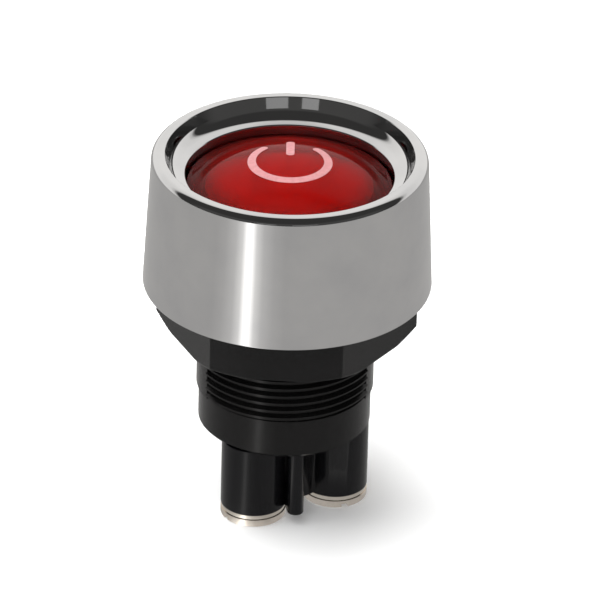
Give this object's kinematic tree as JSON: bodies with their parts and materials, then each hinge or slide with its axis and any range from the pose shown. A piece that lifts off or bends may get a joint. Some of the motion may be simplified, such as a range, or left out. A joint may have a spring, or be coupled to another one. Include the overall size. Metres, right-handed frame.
{
  "type": "push button",
  "caption": "Illuminated momentary push button with a chrome bezel, domed red lens, threaded barrel with hex nut, and screw terminals on round posts.",
  "frame": {"origin": "on the button's axis, in the plane of the face that seats on the panel", "axes": "+Z along the button's axis towards the lens, -Z through the panel to the terminals, -Y towards the front"},
  "size_m": [0.035, 0.035, 0.0466],
  "materials": {
    "chrome": "polished chrome plate",
    "body_black": "moulded, semi-gloss",
    "base_black": "moulded, semi-gloss",
    "nut_black": "moulded, gloss",
    "gasket_rubber": "matt",
    "washer_fibre": "matt",
    "lens_red": "clear moulded, polished",
    "legend_white": "printed ink",
    "diffuser": "translucent",
    "carrier_white": "moulded",
    "nylon": "moulded natural nylon",
    "spring_steel": "drawn wire and stamped strip",
    "brass": "turned",
    "contact_silver": "satin silver",
    "board_green": "solder mask",
    "led": "clear resin",
    "resistor_black": "glazed",
    "lead_red": "wire insulation",
    "lead_black": "wire insulation",
    "washer_steel": "nickel plated",
    "nickel_steel": "nickel plated, bright"
  },
  "bodies": {
    "housing": {"bezel_cap": "chrome", "body_shell": "body_black", "panel_gasket": "gasket_rubber", "return_spring": "spring_steel", "led_board": "board_green", "indicator_leds": "led", "led_resistors": "resistor_black", "led_lead_feed": "lead_red", "led_lead_ground": "lead_black", "fixed_contacts": "contact_silver", "terminal_base": "base_black", "terminal_stud_1": "brass", "terminal_stud_2": "brass", "terminal_stud_3": "brass"},
    "button": {"button_lens": "lens_red", "legend_print": "legend_white", "diffuser_disc": "diffuser", "button_carrier": "carrier_white", "plunger": "nylon", "plunger_clip": "spring_steel", "overtravel_spring": "spring_steel", "bridge_clip": "spring_steel"},
    "bridge": {"contact_bridge": "brass", "bridge_contacts": "contact_silver"},
    "nut_washer": {"nut_washer": "washer_fibre"},
    "nut": {"mounting_nut": "nut_black"},
    "washer_1": {"terminal_washer_1": "washer_steel"},
    "screw_1": {"terminal_screw_1": "nickel_steel"},
    "washer_2": {"terminal_washer_2": "washer_steel"},
    "screw_2": {"terminal_screw_2": "nickel_steel"},
    "washer_3": {"terminal_washer_3": "washer_steel"},
    "screw_3": {"terminal_screw_3": "nickel_steel"}
  },
  "joints": [
    {"name": "button_press", "type": "slide", "parent": "housing", "child": "button", "axis": [0, 0, -1], "range_m": [0, 0.0025], "stiffness_N_per_m": 1200, "springref_m": -0.0025, "deforming": ["return_spring"]},
    {"name": "bridge_travel", "type": "slide", "parent": "housing", "child": "bridge", "axis": [0, 0, -1], "range_m": [0, 0.0021], "deforming": ["overtravel_spring"]},
    {"name": "nut_travel", "type": "slide", "parent": "housing", "child": "nut_washer", "axis": [0, 0, -1], "range_m": [0, 0.012]},
    {"name": "nut_spin", "type": "hinge", "parent": "nut_washer", "child": "nut", "pos_m": [0, 0, 0], "axis": [0, 0, -1], "range_deg": [0, 4340]},
    {"name": "screw_1_travel", "type": "slide", "parent": "housing", "child": "washer_1", "axis": [0, 0, -1], "range_m": [0, 0.0035]},
    {"name": "screw_1_spin", "type": "hinge", "parent": "washer_1", "child": "screw_1", "pos_m": [-0.00349, -0.00537, -0.0285], "axis": [0, 0, -1], "range_deg": [0, 1820]},
    {"name": "screw_2_travel", "type": "slide", "parent": "housing", "child": "washer_2", "axis": [0, 0, -1], "range_m": [0, 0.0035]},
    {"name": "screw_2_spin", "type": "hinge", "parent": "washer_2", "child": "screw_2", "pos_m": [0.00639, -0.00034, -0.0285], "axis": [0, 0, -1], "range_deg": [0, 1820]},
    {"name": "screw_3_travel", "type": "slide", "parent": "housing", "child": "washer_3", "axis": [0, 0, -1], "range_m": [0, 0.0035]},
    {"name": "screw_3_spin", "type": "hinge", "parent": "washer_3", "child": "screw_3", "pos_m": [-0.00291, 0.0057, -0.0285], "axis": [0, 0, -1], "range_deg": [0, 1820]}
  ],
  "couplings": [
    {"joint": "bridge_travel", "follows": "button_press", "ratio": 0.8},
    {"joint": "nut_spin", "follows": "nut_travel", "rad_per_m": 6283.2},
    {"joint": "screw_1_spin", "follows": "screw_1_travel", "rad_per_m": 8976},
    {"joint": "screw_2_spin", "follows": "screw_2_travel", "rad_per_m": 8976},
    {"joint": "screw_3_spin", "follows": "screw_3_travel", "rad_per_m": 8976}
  ]
}
